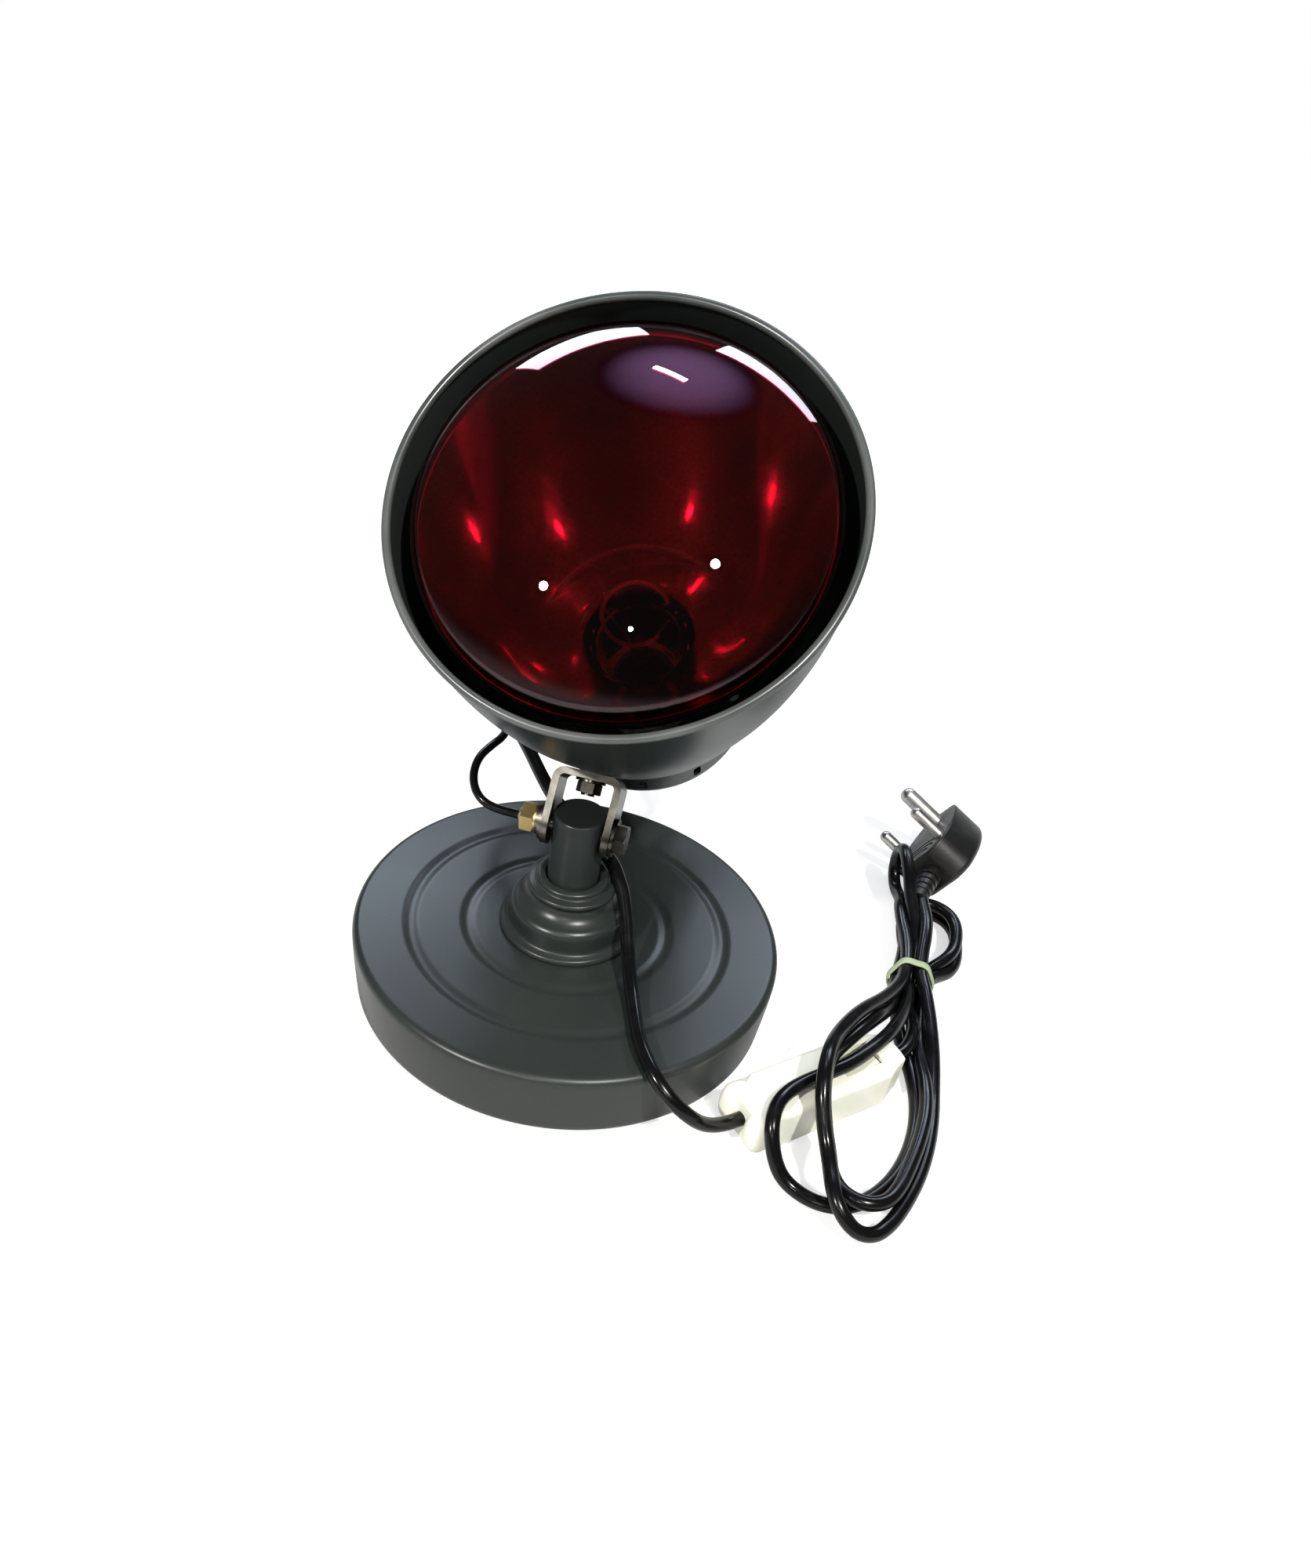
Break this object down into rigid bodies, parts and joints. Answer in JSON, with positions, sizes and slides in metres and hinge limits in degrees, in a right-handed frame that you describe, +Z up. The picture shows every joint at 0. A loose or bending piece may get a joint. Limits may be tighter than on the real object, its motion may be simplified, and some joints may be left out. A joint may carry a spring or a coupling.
{
  "type": "infrared heat therapy lamp",
  "caption": "Table heat lamp: a deep spun shade round a red reflector bulb, tilting on a bolted yoke over a weighted round base, with lead, in-line rocker switch and round-pin plug.",
  "frame": {"origin": "centre of the base's underside", "axes": "+Z up, the shade's mouth faces -Y and upwards, the tilt axis lies along X"},
  "size_m": [0.2336, 0.2306, 0.2353],
  "materials": {
    "charcoal_paint": "semi-gloss charcoal stove enamel",
    "cast_weight": "raw casting",
    "foot_pad": "smooth rubber sheet",
    "zinc_steel": "zinc plated, slightly dulled",
    "brass": "plain brass",
    "ivory_plastic": "moulded ivory plastic",
    "rocker_plastic": "moulded ivory plastic",
    "black_plastic": "moulded black plastic",
    "plated_pin": "nickel plated, blunt tips",
    "cord_sheath": "smooth glossy black sheath",
    "tie_band": "pale green elastic band",
    "holder_ceramic": "white glaze",
    "ruby_glass": "ruby red blown glass",
    "mirror_film": "vacuum-deposited aluminium",
    "cap_metal": "rolled thread shell",
    "insulator_glass": "pressed glass",
    "filament_wire": "drawn wire"
  },
  "bodies": {
    "stand": {"base_shell": "charcoal_paint", "base_ballast": "cast_weight", "base_pad": "foot_pad", "post_screw": "zinc_steel", "post_screw_washer": "zinc_steel", "base_collar": "charcoal_paint", "post": "charcoal_paint", "pivot_washers": "zinc_steel", "spring_washer": "zinc_steel", "pivot_nut": "brass", "pivot_bolt": "zinc_steel", "wire_terminal": "brass", "switch_upper": "ivory_plastic", "switch_lower": "ivory_plastic", "switch_screws": "zinc_steel", "rocker_pin": "zinc_steel", "switch_terminals": "brass", "switch_contacts": "brass", "plug_body": "black_plastic", "plug_guard": "black_plastic", "plug_pins": "plated_pin", "plug_earth_pin": "plated_pin", "lamp_lead_upper": "cord_sheath", "lamp_lead_lower": "cord_sheath", "bonding_wire": "cord_sheath", "supply_lead_start": "cord_sheath", "supply_lead_end": "cord_sheath", "cord_hank_loops": "cord_sheath", "cord_hank_fold": "cord_sheath", "cord_side_loop": "cord_sheath", "cord_hank_waist": "cord_sheath", "cord_tie": "tie_band"},
    "head": {"yoke": "zinc_steel", "yoke_washers": "zinc_steel", "yoke_nut": "zinc_steel", "yoke_bolt": "zinc_steel", "shade": "charcoal_paint", "rear_cap": "charcoal_paint", "rear_cap_screws": "zinc_steel", "cord_gland": "black_plastic", "gland_nut": "black_plastic", "lampholder_body": "holder_ceramic", "terminal_screws": "zinc_steel", "lampholder_screw_shell": "brass", "lampholder_contact": "brass", "lampholder_strap": "zinc_steel", "strap_screws": "zinc_steel", "bulb_glass": "ruby_glass", "bulb_reflector": "mirror_film", "bulb_cap": "cap_metal", "bulb_insulator": "insulator_glass", "bulb_contact": "brass", "bulb_stem": "insulator_glass", "bulb_lead_wires": "filament_wire", "bulb_filament": "filament_wire"},
    "rocker": {"switch_rocker": "rocker_plastic"}
  },
  "joints": [
    {"name": "head_tilt", "type": "hinge", "parent": "stand", "child": "head", "pos_m": [0, 0, 0.071], "axis": [1, 0, 0], "range_deg": [-10, 70], "deforming": ["lamp_lead_upper", "bonding_wire"]},
    {"name": "switch_press", "type": "hinge", "parent": "stand", "child": "rocker", "pos_m": [0.11554, -0.01887, 0.0122], "axis": [-0.7181, 0.6959, 0], "range_deg": [0, 12]}
  ]
}
